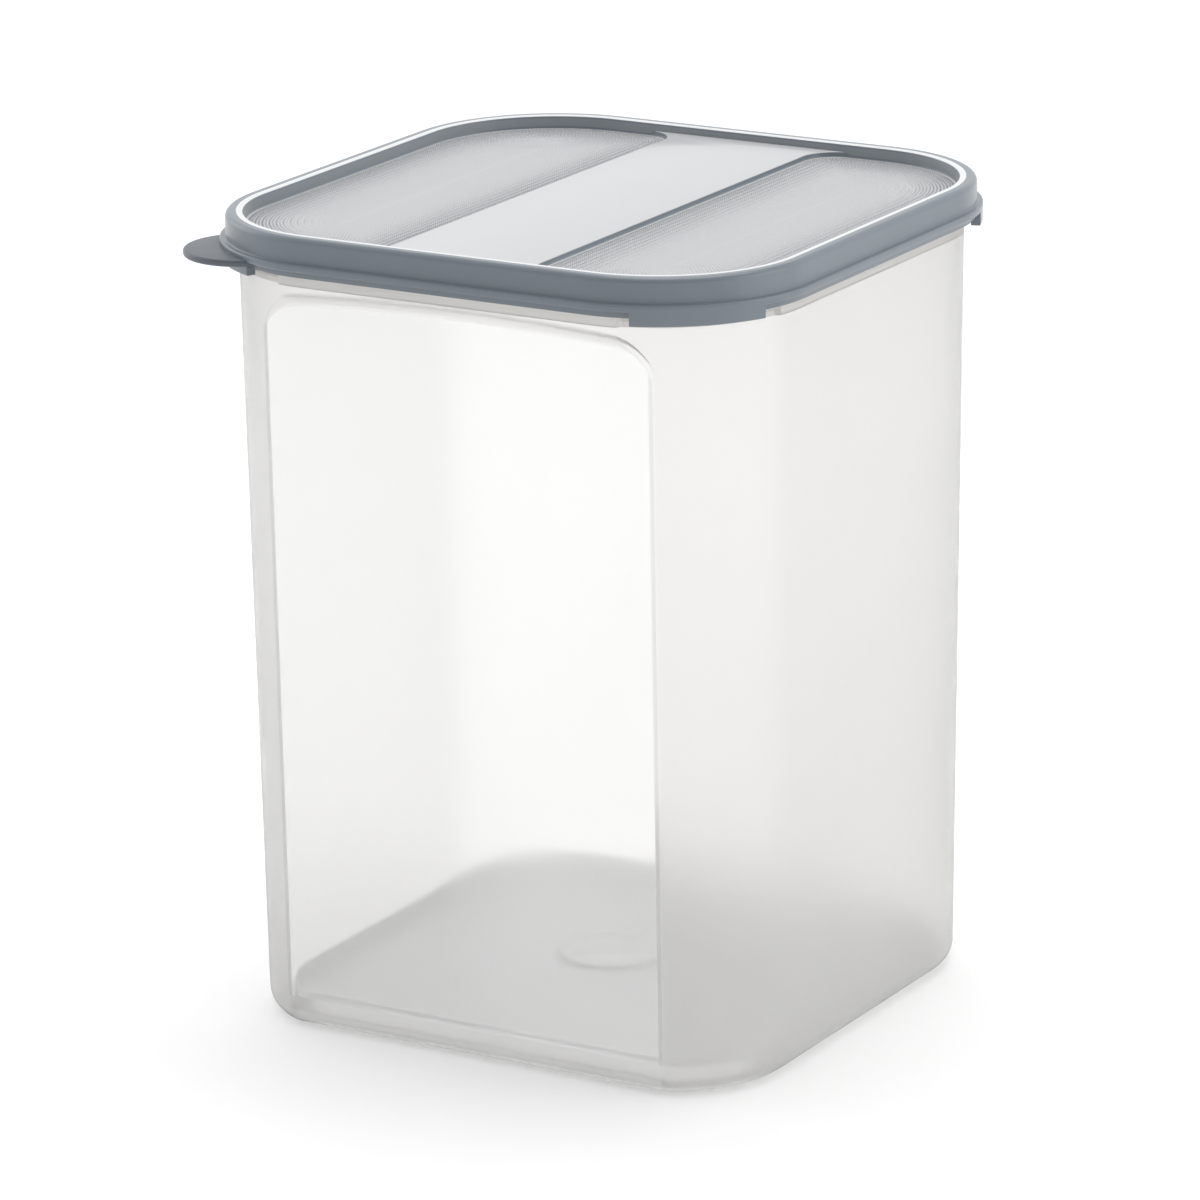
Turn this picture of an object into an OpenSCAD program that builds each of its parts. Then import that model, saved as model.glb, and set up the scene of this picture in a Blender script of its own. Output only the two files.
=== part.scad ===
// Square food canister: a tall tub with a clear front window and a press-on
// seal that lifts straight off. Origin under the middle of the foot, +Z up,
// window facing -Y, pull tab at the -X -Y corner.

/* [Container] */
// Width of the body across its flat sides, just under the neck
body_w = 165.4; // [140:0.2:220]
// How much narrower the body is at its foot, over the whole width
body_taper = 5.4; // [1:0.1:8]
// Radius of the upright corners, just under the neck
corner_r = 38.7; // [34:0.1:50]
// Height of the rim above the surface it stands on
rim_h = 225; // [150:0.5:320]
// Thickness of the body wall
wall = 1.7; // [1.2:0.05:2.2]
// Rounding under the outer wall
foot_r = 5.7; // [4:0.1:8]
// Width of the rounded foot ring, from the outer wall to its inner wall
foot_w = 8.7; // [7.5:0.1:12]
// Height of the raised floor's underside
floor_rise = 6; // [4:0.1:9]
// Thickness of the raised floor
floor_t = 1.8; // [1.2:0.1:3]
// Radius of the round boss in the middle of the floor
boss_r = 15.6; // [8:0.1:25]
// Height of the boss above the floor
boss_h = 1.2; // [0.6:0.1:2]
// Depth of the shallow dish in the top of the boss
dish_d = 1.4; // [0.5:0.1:2]

/* [Neck] */
// Height of the neck, from the grip ribs' lower edge to the rim
neck_h = 11.7; // [11:0.1:18]
// Height of the grip ribs
rib_h = 2.8; // [1.8:0.1:3.5]
// How far the neck and its ribs stand out from the body
neck_step = 1.5; // [1.2:0.05:2.5]
// Thickness of the rim wall
rim_t = 1.3; // [1:0.05:2.4]
// How far each rib runs round the corner arcs, in degrees
rib_turn = 12.5; // [4:0.5:16]

/* [Window] */
// Depth of the flat window face behind the front wall
window_inset = 3.5; // [2:0.1:4]
// Gap between the neck and the middle of the window's top edge
window_drop = 4.7; // [4:0.1:60]
// How far the window reaches past the start of the corner arcs
window_reach = 17; // [14:0.5:20]
// Radius of the arched top edge
arch_r = 700; // [300:10:1500]
// Radius of the window's two top corners
window_corner_r = 12.5; // [6:0.5:20]
// Slope of the ledge over the window, in degrees from level
ledge_slope = 32; // [15:1:50]

/* [Lid] */
// Thickness of the lid's outer wall
lid_wall = 1.8; // [1.2:0.05:2.4]
// How far the outer wall leans in towards the crest
lid_lean = 0.1; // [0:0.05:0.5]
// Thickness of the crest over the rim
crest_t = 1.8; // [1:0.05:2.4]
// Rounding of the crest's outer edge
crest_r = 1.5; // [0.6:0.1:1.6]
// Thickness of the plug's wall
plug_t = 1.3; // [1:0.05:2]
// Depth of the plug that fills the mouth, below the rim
plug_h = 7.2; // [5:0.1:8]
// Depth of the flange's top below the crest
flange_drop = 6.9; // [5:0.1:7.5]
// Thickness of the flange
flange_t = 2; // [1.4:0.1:2.4]
// How far the flange stands out from the outer wall
flange_out = 1.6; // [1:0.1:4]
// Depth of the two textured panels below the crest
panel_drop = 3.8; // [3:0.1:5]
// Depth of the band between the panels below the crest
band_drop = 2.2; // [1:0.1:2.5]
// Width of the band
band_w = 44.8; // [20:0.2:80]
// Radius of the panels' corners beside the band
panel_r = 10; // [3:0.5:20]
// Thickness of the top plate
plate_t = 1.4; // [1:0.1:1.8]
// Where each corner lug starts round its corner arc, in degrees
lug_start = 17.5; // [17:0.5:40]
// How far each lug runs round the corner, in degrees
lug_span = 49; // [20:0.5:50]
// How far the lugs hang below the skirt
lug_drop = 1.8; // [1:0.1:3]
// How far the lugs' faces lie behind the flange's edge
lug_inset = 0.1; // [0.05:0.05:0.8]
// Radius of the pull tab
tab_r = 16.5; // [10:0.5:22]
// How far the pull tab reaches past the flange's corner
tab_reach = 10.6; // [6:0.1:14]
// Thickness of the pull tab
tab_t = 1.9; // [1.2:0.1:2.4]
// Depth of the tab's top below the flange's top
tab_drop = 1.3; // [0.5:0.1:2]

/* [Fit] */
// Clearance between the lid and the rim, on every face
fit = 0.3; // [0.1:0.05:0.4]

/* [Hidden] */
$fn = 96;

// The corner arcs of every wall share one centre, this far from both axes
corner_c = body_w / 2 - corner_r;
neck_z = rim_h - neck_h;
lean = body_taper / 2 / neck_z;
lean_angle = atan(lean);
base_r = corner_r - body_taper / 2;
// Steps in each rounded edge and along the window's arch, and how far cutting
// shapes overshoot
arc_steps = 8;
arch_steps = 20;
over = 2;

rib_top = neck_z + rib_h;
neck_r = corner_r + neck_step;
mouth_r = neck_r - rim_t;
rim_edge = rim_t / 4;
// A 45 degree wall keeps its thickness when its inner face starts this much higher
bend_lift = wall * (sqrt(2) - 1);
floor_top = floor_rise + floor_t;
plateau_r = base_r - foot_w + wall;
trough_r = (foot_w - 2 * wall) / 2;

ledge_rise = tan(ledge_slope);
ledge_lift = wall * (sqrt(1 + pow(ledge_rise, 2)) - ledge_rise);
window_depth = window_inset + foot_r + over;
window_top = neck_z - window_drop;
window_half = corner_c + window_reach;

lid_inner_r = neck_r + fit;
lid_outer_r = lid_inner_r + lid_wall;
crest_outer_r = lid_outer_r - lid_lean;
plug_outer_r = mouth_r - fit;
plug_inner_r = plug_outer_r - plug_t;
channel_z = rim_h + fit;
crest_z = channel_z + crest_t;
flange_z = crest_z - flange_drop;
skirt_z = rib_top + fit;
lug_z = skirt_z - lug_drop;
flange_r = lid_outer_r + flange_out;
lug_r = flange_r - lug_inset;
lug_inner_r = lid_inner_r + lid_wall / 3;
panel_z = crest_z - panel_drop;
band_z = crest_z - band_drop;
inner_edge = min(crest_r, plug_t / 2);
outer_edge = min(crest_r, crest_t * 0.9);
edge = flange_t / 5;
tab_z = flange_z - tab_drop;
tab_mid = (corner_c * sqrt(2) + flange_r + tab_reach - tab_r) / sqrt(2);

// Points of an arc about [x, y]
function arc(x, y, r, from, to) =
    [for (i = [0:arc_steps])
        let (a = from + (to - from) * i / arc_steps)
        [x + r * cos(a), y + r * sin(a)]];

// Sweeps a wall section round the square. The section's X is the distance
// outward from the corner centres
module sweep_square() {
    for (turn = [0:90:270])
        rotate(turn) {
            translate([corner_c, corner_c, 0])
                rotate_extrude(angle = 90) children();
            translate([corner_c, 0, 0])
                rotate([90, 0, 0])
                    linear_extrude(2 * corner_c, center = true) children();
        }
}

// The same sweep, filled in the middle between two heights
module filled_square(low, high) {
    sweep_square() children();
    translate([-corner_c, -corner_c, low])
        cube([2 * corner_c, 2 * corner_c, high - low]);
}

// Upright rounded square whose corners have radius r
module square_block(r, low, high) {
    filled_square(low, high)
        translate([0, low]) square([r, high - low]);
}

// ---- container ----

// Outline of the window at its face, raised by lift and squeezed in height,
// since the cut that it shapes runs outward and up along the ledge
function window_outline(lift) =
    let (corner_x = window_half - window_corner_r,
         arch_mid = window_top - arch_r,
         corner_mid = arch_mid + sqrt(pow(arch_r - window_corner_r, 2) - pow(corner_x, 2)),
         corner_turn = asin(corner_x / (arch_r - window_corner_r)),
         arch_step = 2 * corner_turn / arch_steps,
         right = arc(corner_x, corner_mid, window_corner_r, 0, 90 - corner_turn),
         left = arc(-corner_x, corner_mid, window_corner_r, 90 + corner_turn, 180),
         arch = [for (i = [1:arch_steps - 1])
                     let (a = 90 - corner_turn + i * arch_step)
                     [arch_r * cos(a), arch_mid + arch_r * sin(a)]],
         below = -over - window_depth * tan(ledge_slope))
    [for (p = concat([[window_half, below]], right, arch, left, [[-window_half, below]]))
        [p[0], (p[1] + lift) * cos(ledge_slope)]];

// Space in front of the window's face, which lies inward by depth, and under
// its foot edge
module window_cut(depth) {
    lift = depth > 0 ? ledge_lift : 0;
    edge_r = foot_r - depth;
    translate([0, depth + window_inset - corner_c - base_r, 0])
        rotate([lean_angle, 0, 0]) {
            intersection() {
                translate([-body_w, -window_depth, -over])
                    cube([2 * body_w, window_depth, rim_h]);
                rotate([90 - ledge_slope, 0, 0])
                    linear_extrude(4 * rim_h, center = true)
                        polygon(window_outline(lift));
            }
            translate([-window_half, 0, depth])
                rotate([90, 0, 90])
                    linear_extrude(2 * window_half)
                        polygon(concat([[-over, edge_r], [-over, -over - depth], [edge_r, -over - depth]],
                                       arc(edge_r, edge_r, edge_r, 270, 180)));
        }
}

module outer_section() {
    edge_x = base_r - foot_r;
    polygon(concat(
        [[0, 0]],
        arc(edge_x, foot_r, foot_r, 270, 360 - lean_angle),
        [[corner_r, neck_z],
         [corner_r, rib_top - neck_step],
         [neck_r, rib_top]],
        arc(neck_r - rim_edge, rim_h - rim_edge, rim_edge, 0, 90),
        [[0, rim_h]]));
}

module inner_section() {
    inner_r = foot_r - wall;
    edge_x = base_r - foot_r;
    polygon(concat(
        [[0, wall]],
        arc(edge_x, foot_r, inner_r, 270, 360 - lean_angle),
        [[corner_r - wall, neck_z],
         [corner_r - wall, rib_top - neck_step + bend_lift],
         [mouth_r, rib_top - wall + rim_t + bend_lift],
         [mouth_r, rim_h + over],
         [0, rim_h + over]]));
}

// Raised floor with a rounded shoulder, and the space under it
module plateau(r, top) {
    shoulder = trough_r / 2;
    difference() {
        filled_square(0, top)
            polygon(concat([[0, 0], [r, 0]],
                           arc(r - shoulder, top - shoulder, shoulder, 0, 90),
                           [[0, top]]));
        translate([-body_w, -corner_c - r - body_w + window_inset, -over])
            cube([2 * body_w, body_w, top + 2 * over]);
    }
}

module boss() {
    dish_r = boss_r - wall;
    ball_r = (pow(dish_r, 2) + pow(dish_d, 2)) / (2 * dish_d);
    difference() {
        translate([0, 0, floor_rise + floor_t / 2])
            cylinder(h = boss_h + floor_t / 2, r = boss_r);
        translate([0, 0, floor_top + boss_h - dish_d + ball_r])
            sphere(ball_r, $fn = 360);
    }
}

// Ribs along the straight sides, cut away round the corners
module grip_ribs() {
    difference() {
        sweep_square()
            translate([corner_r - wall / 2, neck_z])
                square([neck_step + wall / 2, rib_h]);
        for (turn = [0:90:270])
            rotate(turn)
                translate([corner_c, corner_c, neck_z - over])
                    rotate(rib_turn)
                        rotate_extrude(angle = 90 - 2 * rib_turn)
                            translate([corner_r - wall, 0])
                                square([neck_step + 2 * wall, rib_h + 2 * over]);
    }
}

module container() {
    color([0.93, 0.93, 0.91, 0.6]) {
        difference() {
            filled_square(0, rim_h) outer_section();
            window_cut(0);
            difference() {
                filled_square(wall, rim_h + over) inner_section();
                window_cut(wall);
            }
            translate([0, 0, -over])
                plateau(plateau_r - wall, floor_rise + over);
        }
        difference() {
            plateau(plateau_r, floor_top);
            translate([0, 0, -over])
                plateau(plateau_r - wall, floor_rise + over);
        }
        boss();
        grip_ribs();
    }
}

// ---- lid ----

// Section of the rim channel: crest, outer wall, flange, skirt and plug
module lid_section() {
    polygon(concat(
        [[lid_inner_r, skirt_z],
         [lid_outer_r, skirt_z],
         [lid_outer_r, flange_z - flange_t]],
        arc(flange_r - edge, flange_z - flange_t + edge, edge, 270, 360),
        arc(flange_r - edge, flange_z - edge, edge, 0, 90),
        [[lid_outer_r, flange_z]],
        arc(crest_outer_r - outer_edge, crest_z - outer_edge, outer_edge, 0, 90),
        arc(plug_inner_r + inner_edge, crest_z - inner_edge, inner_edge, 90, 180),
        [[plug_inner_r, rim_h - plug_h],
         [plug_outer_r, rim_h - plug_h],
         [plug_outer_r, channel_z],
         [lid_inner_r, channel_z]]));
}

// Outline of one textured panel, and of the space under the band when the
// sides grow by a wall
module panel_outline(r, side) {
    half = corner_c + r;
    translate([side, -half + panel_r])
        square([corner_c - side, 2 * (half - panel_r)]);
    translate([side + panel_r, -half])
        square([corner_c - side - panel_r, 2 * half]);
    translate([corner_c, -corner_c])
        square([r, 2 * corner_c]);
    for (end = [-1, 1]) {
        translate([side + panel_r, end * (half - panel_r)])
            circle(panel_r);
        translate([corner_c, end * corner_c])
            intersection() {
                circle(r);
                translate([0, -r]) square([r, 2 * r]);
            }
    }
}

// Top plate, stepped up along the band
module top_plate() {
    low = panel_z - plate_t;
    spread = plug_inner_r + plug_t / 2;
    difference() {
        square_block(spread, low, band_z);
        for (turn = [0, 180])
            rotate(turn)
                translate([0, 0, panel_z])
                    linear_extrude(panel_drop)
                        panel_outline(plug_inner_r, band_w / 2);
        translate([0, 0, low - over])
            linear_extrude(band_z - plate_t - low + over)
                difference() {
                    square(2 * (corner_c + plug_inner_r), center = true);
                    for (turn = [0, 180])
                        rotate(turn) panel_outline(plug_inner_r + over, band_w / 2 - plate_t);
                }
    }
}

// Finger lugs hanging under the skirt at the four corners
module corner_lugs() {
    for (turn = [0:90:270])
        rotate(turn)
            translate([corner_c, corner_c, 0])
                rotate(lug_start)
                    rotate_extrude(angle = lug_span)
                        polygon(concat(
                            [[lug_inner_r, lug_z]],
                            arc(lug_r - edge, lug_z + edge, edge, 270, 360),
                            [[lug_r, flange_z - flange_t / 2],
                             [lid_outer_r - edge, flange_z - flange_t / 2],
                             [lid_outer_r - edge, skirt_z + edge],
                             [lug_inner_r, skirt_z + edge]]));
}

module pull_tab() {
    difference() {
        translate([-tab_mid, -tab_mid, tab_z - tab_t])
            cylinder(h = tab_t, r = tab_r);
        square_block(lid_inner_r + lid_wall / 2, tab_z - tab_t - over, tab_z + over);
    }
}

module lid() {
    color([0.45, 0.5, 0.55, 0.95]) {
        sweep_square() lid_section();
        top_plate();
        corner_lugs();
        pull_tab();
    }
}

container();
lid();
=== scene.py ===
import math

import bmesh
import bpy
from mathutils import Matrix, Vector


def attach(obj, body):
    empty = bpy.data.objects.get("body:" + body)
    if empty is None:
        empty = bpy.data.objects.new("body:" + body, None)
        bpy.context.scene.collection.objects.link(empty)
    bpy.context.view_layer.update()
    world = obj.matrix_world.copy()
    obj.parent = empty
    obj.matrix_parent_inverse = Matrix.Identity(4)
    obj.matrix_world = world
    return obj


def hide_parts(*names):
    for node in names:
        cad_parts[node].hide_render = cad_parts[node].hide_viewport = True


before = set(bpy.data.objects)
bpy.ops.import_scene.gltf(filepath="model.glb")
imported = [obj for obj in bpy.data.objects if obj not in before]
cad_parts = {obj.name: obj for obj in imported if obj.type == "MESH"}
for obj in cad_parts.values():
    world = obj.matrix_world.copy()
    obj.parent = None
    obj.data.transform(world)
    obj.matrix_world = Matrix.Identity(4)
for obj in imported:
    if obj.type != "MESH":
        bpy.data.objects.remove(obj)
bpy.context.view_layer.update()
print("stage: frame loaded, nodes", sorted(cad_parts))

# a square food canister: a frosted tub with a clear window, and a press-on lid;
# all sizes are in metres, and all angles in degrees

quarterTurn = math.pi / 2

# every wall of the canister is one section swept round a square whose corner
# arcs share one centre; a section's radius is measured from that centre
square = {
    "cornerCentre": 0.044,
    "sideSteps": 22,       # columns along one straight side
    "cornerSteps": 48,     # columns round one corner
    "edgeColumn": 13,      # the corner column that follows the window's side edge
}


class Field:
    # a number in a node tree, so that its sums read as plain Python
    def __init__(self, tree, socket):
        self.tree = tree
        self.socket = socket

    def math(self, operation, *others):
        node = self.tree.nodes.new("ShaderNodeMath")
        node.operation = operation
        for place, value in enumerate((self,) + others):
            feed(self.tree, value, node.inputs[place])
        return Field(self.tree, node.outputs[0])

    def __add__(self, other):
        return self.math("ADD", other)

    def __sub__(self, other):
        return self.math("SUBTRACT", other)

    def __mul__(self, other):
        return self.math("MULTIPLY", other)

    def __truediv__(self, other):
        return self.math("DIVIDE", other)

    def __neg__(self):
        return self.math("MULTIPLY", -1.0)

    def least(self, other):
        return self.math("MINIMUM", other)

    def most(self, other):
        return self.math("MAXIMUM", other)

    def over(self, other):
        return self.math("GREATER_THAN", other)

    def root(self):
        return self.most(0.0).math("SQRT")

    def ramp(self, low, high, atLow, atHigh, smooth=False):
        node = self.tree.nodes.new("ShaderNodeMapRange")
        node.interpolation_type = "SMOOTHSTEP" if smooth else "LINEAR"
        for place, value in enumerate((self, low, high, atLow, atHigh)):
            feed(self.tree, value, node.inputs[place])
        return Field(self.tree, node.outputs[0])


def feed(tree, value, socket):
    if isinstance(value, Field):
        tree.links.new(value.socket, socket)
    else:
        socket.default_value = value


def newTree(name, **labels):
    # an empty tree with inputs of each kind
    tree = bpy.data.node_groups.new(name, "GeometryNodeTree")
    tree.interface.new_socket("Geometry", in_out="OUTPUT", socket_type="NodeSocketGeometry")
    for kind, names in labels.items():
        for label in names:
            tree.interface.new_socket(label, in_out="INPUT", socket_type="NodeSocket" + kind)
    entry = tree.nodes.new("NodeGroupInput")
    given = {label: Field(tree, entry.outputs[label])
             for names in labels.values() for label in names}
    return tree, given, tree.nodes.new("NodeGroupOutput")


def addNode(tree, kind, inputs=None, **settings):
    node = tree.nodes.new(kind)
    for key, value in settings.items():
        setattr(node, key, value)
    for key, value in (inputs or {}).items():
        feed(tree, value, node.inputs[key])
    return node


def out(node, key=0):
    return Field(node.id_data, node.outputs[key])


def split(tree, vector):
    parts = addNode(tree, "ShaderNodeSeparateXYZ", {0: vector})
    return [out(parts, axis) for axis in "XYZ"]


def join(tree, x=0.0, y=0.0, z=0.0):
    return out(addNode(tree, "ShaderNodeCombineXYZ", {"X": x, "Y": y, "Z": z}))


def storedNumber(tree, key):
    return out(addNode(tree, "GeometryNodeInputNamedAttribute", {"Name": key},
                       data_type="FLOAT"), "Attribute")


def paint(tree, geometry, material, selection=True):
    return out(addNode(tree, "GeometryNodeSetMaterial", {
        "Geometry": geometry, "Selection": selection, "Material": material}))


def copyOnto(tree, end, material, points, piece, turn, **others):
    # copies of a piece on points, turned about Z, as the tree's result
    copies = addNode(tree, "GeometryNodeInstanceOnPoints", {
        "Points": points, "Instance": piece, "Rotation": join(tree, z=turn), **others})
    real = addNode(tree, "GeometryNodeRealizeInstances", {"Geometry": out(copies)})
    tree.links.new(paint(tree, out(real), material).socket, end.inputs[0])
    return tree


def addObject(name, data):
    made = bpy.data.objects.new(name, data)
    bpy.context.scene.collection.objects.link(made)
    return made


def pointObject(name, points, numbers, edges=()):
    # loose points, or one loop, with named numbers on each point
    mesh = bpy.data.meshes.new(name)
    mesh.from_pydata(points, edges, [])
    for key, values in numbers.items():
        mesh.attributes.new(key, "FLOAT", "POINT").data.foreach_set("value", values)
    return addObject(name, mesh)


def pick(size, names):
    return [size[name] for name in names.split()]


def take(size, *labels):
    # the input "Window Top" gets the value of windowTop, and so on
    return {label: size[label[0].lower() + label[1:].replace(" ", "")] for label in labels}


def grow(name, tree, values):
    # a node tree's result as a plain mesh object
    base = addObject(name + "Base", bpy.data.meshes.new(name + "Base"))
    modifier = base.modifiers.new("grow", "NODES")
    modifier.node_group = tree
    for item in tree.interface.items_tree:
        if item.item_type == "SOCKET" and item.in_out == "INPUT":
            modifier[item.identifier] = values[item.name]
    bpy.context.view_layer.update()
    graph = bpy.context.evaluated_depsgraph_get()
    mesh = bpy.data.meshes.new_from_object(base.evaluated_get(graph), depsgraph=graph)
    mesh.name = name
    base.modifiers.clear()
    bpy.data.objects.remove(base)
    return finishMesh(name, mesh)


def finishMesh(name, mesh, sharpAngle=16):
    mesh.shade_smooth()
    mesh.set_sharp_from_angle(angle=math.radians(sharpAngle))
    print(f"stage: {name} has {len(mesh.polygons)} faces")
    return addObject(name, mesh)


def finishShape(name, shape, sharpAngle, *materials):
    mesh = bpy.data.meshes.new(name)
    shape.to_mesh(mesh)
    shape.free()
    for material in materials:
        mesh.materials.append(material)
    return finishMesh(name, mesh, sharpAngle)


def turnOutward(piece):
    shape = bmesh.new()
    shape.from_mesh(piece.data)
    bmesh.ops.recalc_face_normals(shape, faces=shape.faces)
    shape.to_mesh(piece.data)
    shape.free()


def arc(x, z, radius, start, end, steps=8):
    turns = [math.radians(start + (end - start) * i / steps) for i in range(steps + 1)]
    return [(x + radius * math.cos(t), z + radius * math.sin(t)) for t in turns]


def mark(points, extras):
    return [(point[0], point[1], extras) for point in points]


# what a row of a section may carry besides its radius and height
rowKeys = (
    "round",     # 1 on rings that are circles about the middle
    "follow",    # how far the row bends with the window's arched top
    "lift",      # how much higher the window's edge lies on this side of the wall
    "rib",       # how far the row stands out where there is a grip rib
    "pane",      # 1 on rows of painted shade on the tub's neck and of a painted highlight on the crest
    "accent",    # 1 on rows of the floor material, painted light on the tub's floor and the plug's inner face
    "base",      # 1 on rows of the floor material
)


def sectionObject(name, rows):
    # rows of (radius, height), some with a third entry of extras
    numbers = {key: [row[2].get(key, 0.0) if len(row) > 2 else 0.0 for row in rows]
               for key in rowKeys}
    return pointObject(name, [(row[0], 0, row[1]) for row in rows], numbers)


sweep = {
    "ribFade": (0.006, 0.012),   # shares of a corner, either side of a rib's end
    "ledgeBlend": 0.0004,        # softens both edges of the window's ledge
    "ledgeMargin": 0.0002,       # how far its material reaches past those edges
    "outerSkin": 0.0001,         # rows lifted less than this are on the wall's outer side
    "leastRadius": 0.001,        # these two keep the window's sides off the middle rings
    "leastCosine": 0.5,
    "leastCut": 0.00001,         # the wall is part of the window where it is cut deeper
    "mergeDistance": 0.000001,
    "marked": 0.9,               # a row is marked where its value is higher
}


# the tree that makes the tub's wall and the seal's rim
def buildSweepTree(size):
    tree, given, end = newTree(
        "roundedSquareSweep",
        Object=("Section",),
        Int=("Section Points", "Side Steps", "Corner Steps", "Edge Column"),
        Float=("Corner Centre", "Wall Lean", "Rib Radius", "Rib Turn", "Window Inset",
               "Window Top", "Arch Radius", "Window Half Width", "Window Corner Radius",
               "Ledge Rise", "Edge Softness", "Edge Depth"),
        Material=("Wall Material", "Window Material", "Edge Material", "Ledge Material",
                  "Shade And Highlight Material", "Floor Material"))
    centre = given["Corner Centre"]
    inset = given["Window Inset"]
    side = given["Side Steps"]
    corner = given["Corner Steps"]

    # a flat sheet, with one column for each place round the square and one row
    # for each point of the section
    quarterSteps = side + corner
    columns = quarterSteps * 4.0
    rows = given["Section Points"] - 1.0
    sheet = addNode(tree, "GeometryNodeMeshGrid", {
        "Size X": columns, "Size Y": rows,
        "Vertices X": columns + 1.0, "Vertices Y": given["Section Points"]})
    position = out(tree.nodes.new("GeometryNodeInputPosition"))
    column, row = split(tree, position)[:2]
    column = (column + columns * 0.5).math("ROUND")
    row = (row + rows * 0.5).math("ROUND")

    profile = out(addNode(tree, "GeometryNodeObjectInfo", {"Object": given["Section"]}),
                  "Geometry")

    def fromSection(value, kind):
        return out(addNode(tree, "GeometryNodeSampleIndex",
                           {"Geometry": profile, "Value": value, "Index": row},
                           data_type=kind))

    def named(key):
        return fromSection(storedNumber(tree, key), "FLOAT")

    ringRadius, _, height = split(tree, fromSection(position, "FLOAT_VECTOR"))
    circle = named("round")
    radius = ringRadius + circle * (given["Rib Radius"] - ringRadius)
    follow = named("follow")
    lift = named("lift")

    # where the column stands: along a side, or turned round a corner, with one
    # column drawn to where the window's flat cut meets the corner
    quarter = (column / quarterSteps).math("FLOOR")
    step = column - quarter * quarterSteps
    along = (step / side).least(1.0) * centre * 2.0 - centre
    share = (step - side).most(0.0) / corner
    nearSide = share.least(-share + 1.0)
    evenEdge = given["Edge Column"] / corner
    cosine = (-(inset / radius.most(size["leastRadius"])) + 1.0).most(size["leastCosine"])
    drawn = cosine.math("ARCCOSINE") / quarterTurn
    edgeShare = evenEdge + inset.over(0.0) * (drawn - evenEdge)
    fitted = (nearSide.ramp(0.0, evenEdge, 0.0, edgeShare)
              + nearSide.ramp(evenEdge, 0.5, 0.0, -edgeShare + 0.5))
    past = share.over(0.5)
    fittedShare = fitted + past * (-(fitted * 2.0) + 1.0)
    turn = fittedShare * quarterTurn

    # grip ribs stand out along the sides and a little way round the corners
    ribShare = given["Rib Turn"] / quarterTurn
    fadeBefore, fadeAfter = size["ribFade"]
    ribMask = fitted.ramp(ribShare - fadeBefore, ribShare + fadeAfter, 1.0, 0.0, True)
    standing = radius + named("rib") * ribMask * (given["Rib Radius"] - radius)

    def turned(x, y):
        spun = addNode(tree, "ShaderNodeVectorRotate",
                       {"Vector": join(tree, x, y), "Angle": quarter * quarterTurn},
                       rotation_type="Z_AXIS")
        return split(tree, out(spun))[:2]

    outX, outY = turned(turn.math("SINE"), -turn.math("COSINE"))
    railX, railY = turned(along, -centre)
    x = railX + outX * standing
    y = railY + outY * standing

    # the window's top edge at this place: a flat arch with two round corners
    archMid = given["Window Top"] - given["Arch Radius"]
    cornerR = given["Window Corner Radius"]
    cornerX = given["Window Half Width"] - cornerR
    reach = given["Arch Radius"] - cornerR
    cornerMid = archMid + (reach * reach - cornerX * cornerX).root()
    edgeX = centre + (standing * inset * 2.0 - inset * inset).root()
    width = x.math("ABSOLUTE").least(edgeX)
    arch = archMid + (given["Arch Radius"] * given["Arch Radius"] - width * width).root()
    fromCorner = width - cornerX
    bend = cornerMid + (cornerR * cornerR - fromCorner * fromCorner).root()
    topEdge = arch + width.over(cornerX * given["Arch Radius"] / reach) * (bend - arch)

    # rows near the edge slide along the wall to follow it
    slide = follow * (topEdge - given["Window Top"])
    z = height + slide
    x = x + outX * slide * given["Wall Lean"]
    y = y + outY * slide * given["Wall Lean"]
    wallRadius = standing + slide * given["Wall Lean"]
    above = z - topEdge - lift
    blend = size["ledgeBlend"]
    depth = inset * above.ramp(-blend, given["Ledge Rise"] + blend, 1.0, 0.0, True)
    flatY = -(centre + wallRadius - depth)
    cut = (flatY - y).most(0.0)
    softness = given["Edge Softness"] * depth / inset
    y = out(addNode(tree, "ShaderNodeMath", {0: y, 1: flatY, 2: softness},
                    operation="SMOOTH_MAX"))

    # rings marked round lie on circles about the middle
    length = (x * x + y * y).root()
    x = x + circle * (x / length * ringRadius - x)
    y = y + circle * (y / length * ringRadius - y)

    kept = out(sheet)
    # tone and low keep the painted light marks: painted shade on the tub's neck, a painted
    # highlight on the crest, and painted light on the tub's floor and the plug's inner face
    for key, value in (("cut", cut), ("above", above), ("skin", named("pane")),
                       ("tone", named("accent")), ("low", named("base")), ("inside", lift)):
        kept = out(addNode(tree, "GeometryNodeStoreNamedAttribute",
                           {"Geometry": kept, "Name": key, "Value": value},
                           data_type="FLOAT", domain="POINT"))
    shaped = addNode(tree, "GeometryNodeSetPosition",
                     {"Geometry": kept, "Position": join(tree, x, y, z)})
    closed = addNode(tree, "GeometryNodeMergeByDistance",
                     {"Geometry": out(shaped), "Distance": size["mergeDistance"]})

    # the window is clear, with a thin strip down its sides on the outer skin
    # alone, painted darker as painted shade along the side creases, and a ledge along its top
    stored = {key: storedNumber(tree, key)
              for key in ("cut", "above", "skin", "tone", "low", "inside")}
    marked, margin = pick(size, "marked ledgeMargin")
    isCut = stored["cut"].over(size["leastCut"])
    inPane = isCut * stored["skin"].over(marked) * (-stored["above"]).over(0.0)
    sideShadeMask = (inPane * (-stored["cut"] + given["Edge Depth"]).over(0.0)
              * (-stored["inside"] + size["outerSkin"]).over(0.0))
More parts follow.
